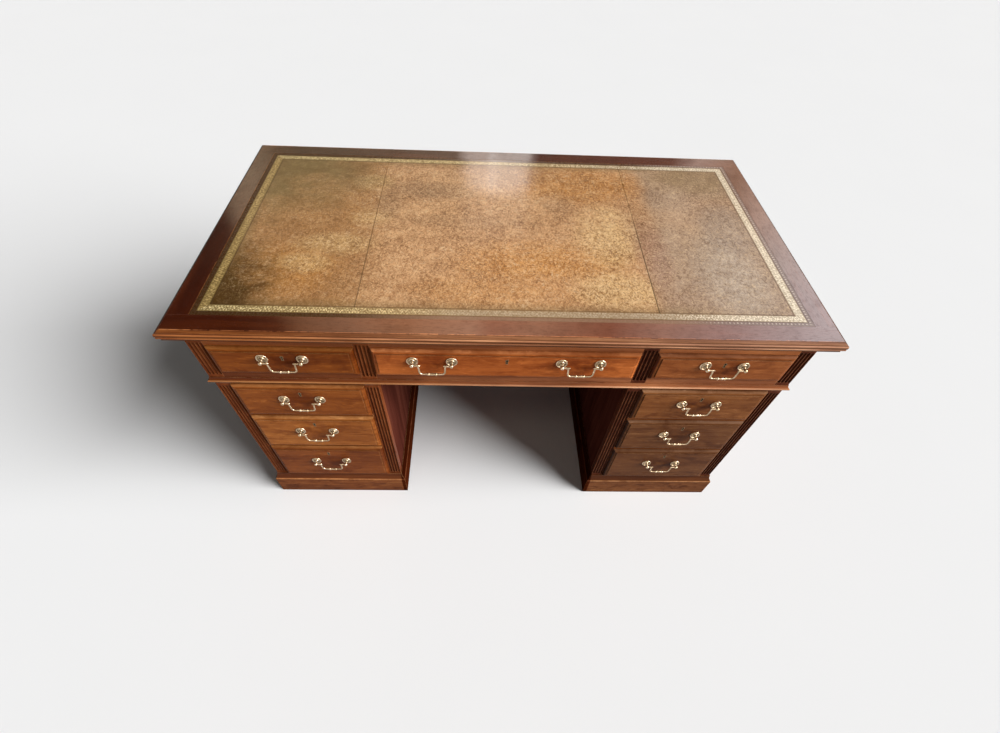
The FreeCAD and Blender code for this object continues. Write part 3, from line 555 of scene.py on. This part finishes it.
top_polish = mahogany("top_mahogany", (0.024, 0.0045, 0.0010), (0.044, 0.0090, 0.0022), (0.090, 0.022, 0.0055),
                      (0.48, 0.200, 0.070), grain_of_frame, 0.30, 0.04,
                      # The moulded edge is much paler than the flat: paler worn wood, with painted light. Its ends
                      # are kept nearly as dark as the flat.
                      [(moulded_edge, (5.6, 10.5, 19.0)),
                       # The arris is rubbed paler in broken dashes, with a painted highlight.
                       (worn_and_highlit_arris, (7.0, 11.0, 15.0)),
                       # Painted shade, with dirt, in the step behind the arris.
                       (dirt_and_shade_in_step, (0.30, 0.24, 0.20)),
                       # Painted shade on the top of the roll, a painted highlight on the roll, painted shade in the
                       # groove, a painted highlight on the bead and painted shade at the foot.
                       (painted_band_on_edge(0.7694, 0.7712, 0.0004), (0.70, 0.62, 0.55)),
                       (painted_band_on_edge(0.7645, 0.7685, 0.0008), (2.3, 2.5, 2.7)),
                       (painted_band_on_edge(0.7588, 0.7625, 0.0005), (0.52, 0.44, 0.38)),
                       (painted_band_on_edge(0.7528, 0.7585, 0.0006), (1.6, 1.6, 1.6)),
                       (painted_band_on_edge(0.7440, 0.7516, 0.0004), (0.60, 0.52, 0.45)),
                       (edge_of_ends, (0.22, 0.16, 0.13)),
                       # Painted shade: the flat of the frame and its moulded edge are darkened toward the left.
                       (left_rail_painted_shade, (0.70, 0.58, 0.42)),
                       (edge_painted_shade_to_left, (0.70, 0.52, 0.30)),
                       # Painted reflection: the moulded edge grows paler and greyer toward the right.
                       (edge_painted_sheen_to_right, (1.25, 1.48, 1.85))], upper_face)
dress(top_polish, "top_frame")

# The writing surface is three goat skins, pared thin and pasted side by side on the panel. They are
# worn to tan in the middle and olive at the ends, with a band of gold tooling and a row of blind beads.

hide, hide_shader, start = new_finish("tooled_leather")
place = start.node("TexCoord", out="Object")
x, y, z = (start.node("SeparateXYZ", None, {0: place}, i) for i in range(3))
from_end = leather_high.x - abs(x)
from_side = leather_high.y - abs(y)
inset = from_end.least(from_side)
at_end = from_end < from_side
run = x + (y - x) * at_end

drift = start.noise(place, 2.6, 3.0, 0.55, 0.5)
patch = start.noise(start.vector(x * 7.0, y * 10.0, z), 1.0, 4.0, 0.6, 0.6)
fleck = start.noise(start.vector(x * 190.0, y * 120.0, z), 1.0, 3.0, 0.65, 0.8)
scuff = start.noise(start.vector(x * 30.0, y * 36.0, z), 1.0, 4.0, 0.65, 0.8)
bent = start.vector(x + (patch - 0.5) * 0.020, y + (scuff - 0.5) * 0.012, z)
crazing = start.node("TexVoronoi", {"feature": "DISTANCE_TO_EDGE"}, {"Vector": bent, "Scale": 85.0})
vein = abs(start.noise(start.vector(x * 24.0, y * 34.0, z), 1.0, 3.0, 0.6, 2.0) - 0.5)
scratch = abs(start.noise(start.vector(x * 17.0 + 4.0, y * 29.0, z), 1.0, 2.0, 0.5, 2.6) - 0.5)
grain = start.node("TexVoronoi", {"feature": "DISTANCE_TO_EDGE"}, {"Vector": place, "Scale": 520.0})


def spot(middle_x, middle_y, wide, deep):
    """A soft patch on the leather, 1 in its middle, with a wandering edge."""
    from_x = (x - middle_x) / wide
    from_y = (y - middle_y) / deep
    return (from_x * from_x + from_y * from_y + (drift - 0.5) * 2.2 + (patch - 0.5) * 1.2).rise(1.3, -0.2)


def patches(*spots):
    """Soft patches together, each with its middle, its half width and half depth, and its share."""
    together = x * 0.0
    for middle_x, middle_y, wide, deep, share in spots:
        together = together.most(spot(middle_x, middle_y, wide, deep) * share)
    return together


left_seam_x = -0.3495
right_seam_front, right_seam_back = 0.3490, 0.3631
deep = leather_high.y - leather_low.y
right_seam_slant = (right_seam_back - right_seam_front) / deep
past_right_seam = x - y * right_seam_slant - (right_seam_front + right_seam_back) / 2
right_skin = past_right_seam.rise(-0.0005, 0.0005)

sunned = patches((0.215, 0.23, 0.20, 0.13, 1.0), (0.08, -0.15, 0.26, 0.10, 1.0), (-0.56, -0.20, 0.15, 0.11, 0.6),
                 (-0.02, -0.26, 0.25, 0.08, 0.6))
paled = patches((-0.43, -0.09, 0.12, 0.05, 0.68), (-0.36, 0.03, 0.07, 0.05, 0.68), (-0.50, -0.17, 0.07, 0.04, 0.68),
                (-0.38, 0.21, 0.06, 0.05, 0.68), (0.27, -0.03, 0.10, 0.16, 1.0), (0.27, -0.25, 0.14, 0.08, 1.0))
paled = paled * (1.0 - right_skin * 0.8)
browned = patches((-0.213, 0.175, 0.14, 0.06, 1.0), (-0.32, 0.10, 0.05, 0.10, 1.0), (0.15, 0.12, 0.06, 0.06, 0.7),
                  (-0.12, 0.02, 0.22, 0.04, 0.5), (0.36, -0.02, 0.05, 0.14, 0.7), (-0.05, 0.28, 0.30, 0.07, 0.45))
olive = patches((-0.62, 0.27, 0.28, 0.27, 1.0), (0.60, 0.28, 0.18, 0.11, 0.75))
olive = olive.most(inset.rise(0.070, 0.036) * (0.55 - x.rise(0.40, 0.55) * 0.40))
# The right skin is greyer toward its right end: partly its own duller tone, partly painted haze.
greyed_and_hazed = (x + y.rise(0.02, -0.22) * 0.055).rise(0.375, 0.44) * (drift.rise(0.30, 0.60) * 0.4 + 0.6) * right_skin
# Painted reflection: a pale grey streak of window haze on the right skin.
painted_window_haze = spot(0.56, -0.20, 0.11, 0.20)
dark_grey = spot(0.62, 0.00, 0.09, 0.13)
amber = spot(0.215, 0.24, 0.20, 0.12)
purplish = spot(0.385, -0.11, 0.055, 0.17)
sooty = (spot(-0.69, -0.28, 0.15, 0.22) * 1.7).least(1.0)
burnished = spot(-0.01, 0.29, 0.13, 0.16)

skin = start.mix(colour(0.442, 0.243, 0.116), colour(0.305, 0.149, 0.053), x.rise(-0.28, -0.40))
for tint, where in ((colour(0.296, 0.220, 0.160), greyed_and_hazed * 0.88),
                    (colour(0.365, 0.312, 0.258), painted_window_haze * 0.75),
                    (colour(0.275, 0.225, 0.185), dark_grey * 0.65),
                    (colour(0.43, 0.182, 0.034), sunned * 0.84),
                    (colour(0.330, 0.140, 0.036), amber * 0.55),
                    (colour(0.62, 0.420, 0.180), paled * 0.54),
                    (colour(0.22, 0.125, 0.066), browned * 0.60),
                    (colour(0.255, 0.145, 0.100), purplish * 0.75),
                    (colour(0.155, 0.106, 0.040), olive * 0.95),
                    (colour(0.055, 0.025, 0.002), sooty * 0.97)):
    skin = start.mix(skin, tint, where)

smooth = olive.most(greyed_and_hazed * 0.35)
lively = (1.0 - smooth * 0.75) * (1.0 - sooty * 0.4) * (x.rise(-0.45, -0.30) * 0.35 + 0.65 + paled * 0.35)
broken = start.noise(start.vector(x * 105.0, y * 70.0, z), 1.0, 3.0, 0.7, 1.6)
speckle = ((fleck - 0.5) * 1.9 + (broken - 0.5) * 1.9) * (lively * 0.8 + 0.2)
detail = (patch - 0.5) * 0.40 + (scuff - 0.5) * 0.90 + speckle + 0.54
shaded = start.node("VectorMath", {"operation": "MULTIPLY"}, {0: skin, 1: (0.54, 0.46, 0.36)})
rubbed_pale = start.node("VectorMath", {"operation": "MULTIPLY"}, {0: skin, 1: (1.40, 1.46, 1.46)})
skin = start.mix(shaded, rubbed_pale, detail.most(0.0).least(1.0))
cracks = crazing.rise(0.075, 0.020) * broken.rise(0.52, 0.38)
veins = vein.rise(0.034, 0.006) * patch.rise(0.56, 0.40)
scratches = scratch.rise(0.018, 0.003) * patch.rise(0.42, 0.58)
worn_through = broken.rise(0.57, 0.68) * paled.most(sunned * 0.5).most(0.20)
skin = start.mix(skin, colour(0.110, 0.050, 0.020), cracks * lively * 0.20)
skin = start.mix(skin, colour(0.120, 0.055, 0.020), veins * lively * 0.6)
skin = start.mix(skin, colour(0.70, 0.520, 0.310), scratches * lively * 0.60)
skin = start.mix(skin, colour(0.72, 0.530, 0.290), worn_through * lively * 0.75)
pale_share = (paled.most(sunned * 0.6) * 0.50 + 0.40) * 0.60
for lean_x, lean_y, fine, twist in ((0.9, 0.35, 62.0, 1.8), (-0.5, 0.85, 48.0, 2.4), (0.2, -1.0, 75.0, 1.2)):
    leaning = start.vector((x * lean_x + y * lean_y) * fine, (y * lean_x - x * lean_y) * fine * 0.75, z)
    stroke = abs(start.noise(leaning, 1.0, 2.0, 0.5, twist) - 0.5)
    pale_line = stroke.rise(0.032, 0.008) * broken.rise(0.40, 0.56) * lively
    dark_line = stroke.rise(0.026, 0.006) * broken.rise(0.50, 0.38) * lively
    skin = start.mix(skin, colour(0.72, 0.500, 0.270), pale_line * pale_share)
    skin = start.mix(skin, colour(0.150, 0.070, 0.030), dark_line * 0.35)

left_seam = abs(x - left_seam_x)
right_seam = abs(past_right_seam)
inside_band = inset.rise(0.033, 0.036)
beside_seam = left_seam.least(right_seam).rise(0.0034, 0.0018) * inside_band
dirt = left_seam.rise(0.0022, 0.0006) * y.rise(0.31, 0.22) * 0.6
dirt = dirt.most(right_seam.rise(0.0022, 0.0006) * y.rise(0.05, -0.04) * 0.75) * broken.rise(0.30, 0.55)
skin = start.mix(skin, colour(0.065, 0.032, 0.014), dirt * inside_band * 0.7)
skin = start.mix(skin, colour(0.130, 0.064, 0.027), left_seam.rise(0.0009, 0.0004) * inside_band * 0.80)
skin = start.mix(skin, colour(0.065, 0.034, 0.016), right_seam.rise(0.0009, 0.0004) * inside_band * 0.80)

bead_pitch = 0.009
roll_pitch = 0.0135
band_middle, band_half = 0.023, 0.010
beads = ((run * (2 * math.pi / bead_pitch)).wave()).rise(0.0, 0.7) * inset.strip(0.0042, 0.0085, 0.0006)
turn = run * (2 * math.pi / roll_pitch)
across_band = (inset - band_middle) / band_half
stem = abs(across_band - turn.wave() * 0.55).rise(0.30, 0.14)
bud = abs(across_band + turn.wave() * 0.62).rise(0.40, 0.18) * abs(turn.wave()).rise(0.50, 0.80)
line = abs(abs(across_band) - 0.86).rise(0.10, 0.04)
rubbed = start.noise(place, 190.0, 2.0, 0.6).rise(0.44, 0.54)
rubbed = rubbed * start.noise(place, 40.0, 4.0, 0.7).rise(0.28, 0.44)
front_side = (1.0 - at_end) * (0.0 - y).rise(0.30, 0.34)
faded = front_side * x.strip(-0.20, 0.42, 0.12)
filled_up = faded.most(x.rise(0.38, 0.52))
foil = inset.strip(0.0136, 0.0324, 0.0005) * (1.0 - stem.most(bud).most(line) * (0.8 - filled_up * 0.40))
gilt = foil * (rubbed * (0.85 - filled_up * 0.35) + 0.15 + filled_up * 0.27)
ground = inset.strip(0.0125, 0.0335, 0.0004)
margin = inset.rise(0.0130, 0.0120)
crease = inset.strip(0.0345, 0.0368, 0.0005).most(inset.strip(0.0105, 0.0125, 0.0004))
skin = start.mix(skin, colour(0.17, 0.110, 0.032), ground * 0.80)
edging = start.mix(colour(0.046, 0.020, 0.006), colour(0.183, 0.113, 0.067), front_side * x.rise(-0.42, -0.10))
edging = start.mix(edging, colour(0.132, 0.097, 0.081), x.rise(0.38, 0.52))
skin = start.mix(skin, edging, margin * 0.95)
skin = start.mix(skin, colour(0.050, 0.028, 0.009), crease * 0.70)
bead_share = (x.rise(0.38, 0.54) * 0.80 + 0.02) * (rubbed * 0.6 + 0.4)
skin = start.mix(skin, colour(0.50, 0.44, 0.35), beads * bead_share)
gold = start.mix(colour(0.84, 0.69, 0.35), colour(0.92, 0.86, 0.66), x.rise(-0.10, 0.48))
gold = start.mix(gold, colour(0.43, 0.375, 0.27), faded * 0.9)
gold = start.mix(gold, colour(0.52, 0.375, 0.145), at_end * x.rise(-0.50, -0.60))
skin = start.mix(skin, gold, gilt * 0.95)

join(skin, hide_shader, "Base Color")
join(gilt * 0.2, hide_shader, "Metallic")
rough = (fleck - 0.5) * 0.20 + 0.40 - gilt * 0.10 + smooth * 0.05 - margin * 0.15 + beside_seam * 0.3
join(rough, hide_shader, "Roughness")
wax = (0.24 + margin * 0.25 + ground * 0.10 + burnished * 0.90) * fleck.rise(0.15, 0.45)
dulled = sooty.most(margin * x.rise(-0.10, -0.50)) * 0.9
join(wax * (1.0 - beside_seam) * (1.0 - dulled), hide_shader, "Coat Weight")
hide_shader.inputs["Specular IOR Level"].default_value = 0.15
hide_shader.inputs["Coat Roughness"].default_value = 0.09
hide_shader.inputs["Coat IOR"].default_value = 1.7
height = grain.rise(0.0, 0.25) * 0.25 + fleck * 0.5 + beads * 1.2 - crease * 1.2 - foil * 0.4
join(start.node("Bump", None, {"Strength": 0.30, "Distance": 0.0005, "Height": height}), hide_shader, "Normal")

lie = bpy.data.textures.new("lie_of_the_skin", "CLOUDS")
lie.noise_scale = 0.16
seam_gap = 0.00005
skin_thick = 0.0011
edge_turn = 0.0002
wave_high = 0.0003
face_z = leather_high.z - wave_high / 2
for name, left_front, left_back, right_front, right_back in (
        ("left_hide", leather_low.x, leather_low.x, left_seam_x - seam_gap, left_seam_x - seam_gap),
        ("middle_hide", left_seam_x + seam_gap, left_seam_x + seam_gap,
         right_seam_front - seam_gap, right_seam_back - seam_gap),
        ("right_hide", right_seam_front + seam_gap, right_seam_back + seam_gap, leather_high.x, leather_high.x)):
    wide = right_front - left_front
    middle = (left_front + right_front) / 2
    bpy.ops.object.select_all(action="DESELECT")
    bpy.ops.mesh.primitive_plane_add(size=1.0)
    skin_piece = bpy.context.object
    skin_piece.name = skin_piece.data.name = name
    bpy.ops.object.mode_set(mode="EDIT")
    bpy.ops.transform.resize(value=(wide, deep, 1.0))
    bpy.ops.transform.translate(value=(middle, 0.0, face_z))
    for side, moved in ((-1, left_back - left_front), (1, right_back - right_front)):
        bpy.ops.mesh.select_all(action="DESELECT")
        bpy.ops.object.mode_set(mode="OBJECT")
        for corner in skin_piece.data.vertices:
            corner.select = corner.co.y > 0 and (corner.co.x - middle) * side > 0
        bpy.ops.object.mode_set(mode="EDIT")
        bpy.ops.transform.translate(value=(moved, 0.0, 0.0))
    bpy.ops.mesh.select_all(action="SELECT")
    bpy.ops.mesh.subdivide(number_cuts=63)
    bpy.ops.object.mode_set(mode="OBJECT")
    waves = skin_piece.modifiers.new("waves", "DISPLACE")
    waves.texture = lie
    waves.texture_coords = "LOCAL"
    waves.direction = "Z"
    waves.strength = wave_high
    pared = skin_piece.modifiers.new("pared", "SOLIDIFY")
    pared.thickness = skin_thick
    pared.offset = -1.0
    turned_edge = skin_piece.modifiers.new("turned_edge", "BEVEL")
    turned_edge.width = edge_turn
    turned_edge.segments = 2
    turned_edge.angle_limit = math.radians(60)
    for modifier in list(skin_piece.modifiers):
        bpy.ops.object.modifier_apply(modifier=modifier.name)
    bpy.ops.object.shade_smooth_by_angle(angle=math.radians(20))
    skin_piece.data.materials.append(hide)
    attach(skin_piece, "desk")
    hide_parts("leather_hides")

# The desk stands on a plain pale studio floor, under one large soft lamp high on the right. Brighter
# walls of the dim room, behind, to the right and in front, show only in what the polish mirrors.

bpy.ops.object.select_all(action="DESELECT")
bpy.ops.mesh.primitive_plane_add(size=60.0)
floor = bpy.context.object
floor.name = "studio_floor"
paper, paper_shader, start = new_finish("pale_paper")
place = start.node("TexCoord", out="Object")
pale = start.mix(colour(0.797, 0.799, 0.801), colour(0.813, 0.815, 0.817), start.noise(place, 1.5, 2.0))
seen = start.node("LightPath", out="Is Camera Ray").most(start.node("LightPath", out="Is Glossy Ray"))
join(start.mix(colour(0.48, 0.48, 0.48), pale, seen), paper_shader, "Base Color")
paper_shader.inputs["Roughness"].default_value = 0.9
paper_shader.inputs["Specular IOR Level"].default_value = 0.1
floor.data.materials.append(paper)

room = bpy.data.worlds.new("studio_room")
room.use_nodes = True
bpy.context.scene.world = room
start = Finish(room.node_tree)
toward = start.node("TexCoord", out="Generated")


def in_turns(*turns):
    """Brightness of one height of the room, from bearings in degrees from the back towards the right."""
    stops = [(bearing / 180 + 0.5, strength) for bearing, strength in turns]
    return start.node("ValToRGB", {"stops": stops}, {0: bearing_of / 180 + 0.5})


def scaled(strength, share):
    return start.node("VectorMath", {"operation": "SCALE"}, {0: strength, "Scale": share})


def both(first, second):
    return start.node("VectorMath", {"operation": "ADD"}, {0: first, 1: second})


toward_x, toward_y, toward_z = (start.node("SeparateXYZ", None, {0: toward}, i) for i in range(3))
bearing_of = start.sum("ARCTAN2", toward_x, toward_y) * (180 / math.pi)
height_of = start.sum("ARCSINE", toward_z) * (180 / math.pi)
low_wall = in_turns((-35, (0.05, 0.03, 0.02)), (-30.5, (0.10, 0.06, 0.04)), (-28.5, (0.95, 0.68, 0.44)),
                    (-26, (0.95, 0.70, 0.45)), (-22, (0.40, 0.30, 0.17)), (-11, (0.44, 0.35, 0.24)),
                    (-2.6, (0.55, 0.43, 0.31)), (-1.6, (2.0, 1.65, 1.45)), (1.0, (2.0, 1.65, 1.45)),
                    (1.5, (2.9, 2.6, 2.4)), (2.2, (2.1, 1.8, 1.6)), (5.6, (2.1, 1.85, 1.7)),
                    (6.6, (0.25, 0.12, 0.08)), (22, (0.45, 0.20, 0.14)), (24.5, (1.6, 1.1, 0.9)),
                    (29, (1.15, 0.65, 0.42)), (33, (2.2, 1.5, 1.2)), (38, (2.6, 2.15, 2.0)),
                    (46, (3.2, 2.8, 2.85)), (70, (2.0, 1.9, 1.9)))
high_wall = in_turns((-35, (0.12, 0.01, 0.0)), (-30, (0.35, 0.10, 0.04)), (-27, (1.1, 0.50, 0.25)),
                     (-20, (1.7, 0.85, 0.48)), (-12, (2.4, 1.1, 0.57)), (-1, (2.9, 1.5, 0.93)),
                     (2, (2.3, 1.0, 0.6)), (9, (2.5, 1.2, 0.72)), (21, (1.55, 0.57, 0.34)),
                     (29, (2.4, 1.28, 0.95)), (36, (2.4, 1.5, 1.35)), (46, (2.95, 2.45, 2.45)),
                     (70, (2.0, 1.9, 1.9)))
walls = start.mix(low_wall, high_wall, height_of.rise(29, 37))
shown = height_of.strip(19, 48, 2) * abs(bearing_of).rise(72, 66)
toward_window = (-0.224, -0.480, 0.848)
ahead = start.node("VectorMath", {"operation": "DOT_PRODUCT"}, {0: toward, 1: toward_window}, "Value")
window = ahead.rise(math.cos(math.radians(8)), math.cos(math.radians(4)))
in_front = (0.0 - toward_y).rise(0.05, 0.45) * height_of.strip(24, 70, 10)
mirrored = start.node("LightPath", out="Is Glossy Ray").most(start.node("LightPath", out="Is Transmission Ray"))
dim = 0.068 - mirrored * 0.050
light = both(start.vector(dim, dim, dim), scaled(walls, shown * mirrored))
light = both(light, scaled((2.4, 2.1, 1.75), window))
light = both(light, scaled((1.25, 1.08, 0.90), in_front * mirrored))
seen = start.node("LightPath", out="Is Camera Ray").most(mirrored * height_of.rise(13, 9))
light = start.mix(light, colour(0.87, 0.87, 0.87), seen)
background = room.node_tree.nodes["Background"]
join(light, background, "Color")

lamp = bpy.data.lights.new("soft_lamp", "SUN")
lamp.energy = 6.35
lamp.angle = math.radians(41)
lamp_stand = bpy.data.objects.new("soft_lamp", lamp)
bpy.context.scene.collection.objects.link(lamp_stand)
lamp_stand.rotation_euler = Vector((0.82, -0.29, 0.49)).to_track_quat("Z", "Y").to_euler()

# The camera stands in front of the desk at head height, a little to the left of its middle, and looks
# steeply down at it through a wide lens.

lens = bpy.data.cameras.new("camera")
lens.sensor_width = 36.0
lens.lens = 16.842
lens.shift_x = 0.00683
lens.shift_y = 0.04992
camera = bpy.data.objects.new("camera", lens)
camera.location = (-0.0695, -1.1460, 1.5000)
camera.rotation_euler = (0.61992, -0.03526, -0.01021)
bpy.context.scene.collection.objects.link(camera)
bpy.context.scene.camera = camera
bpy.context.scene.view_settings.view_transform = "Standard"
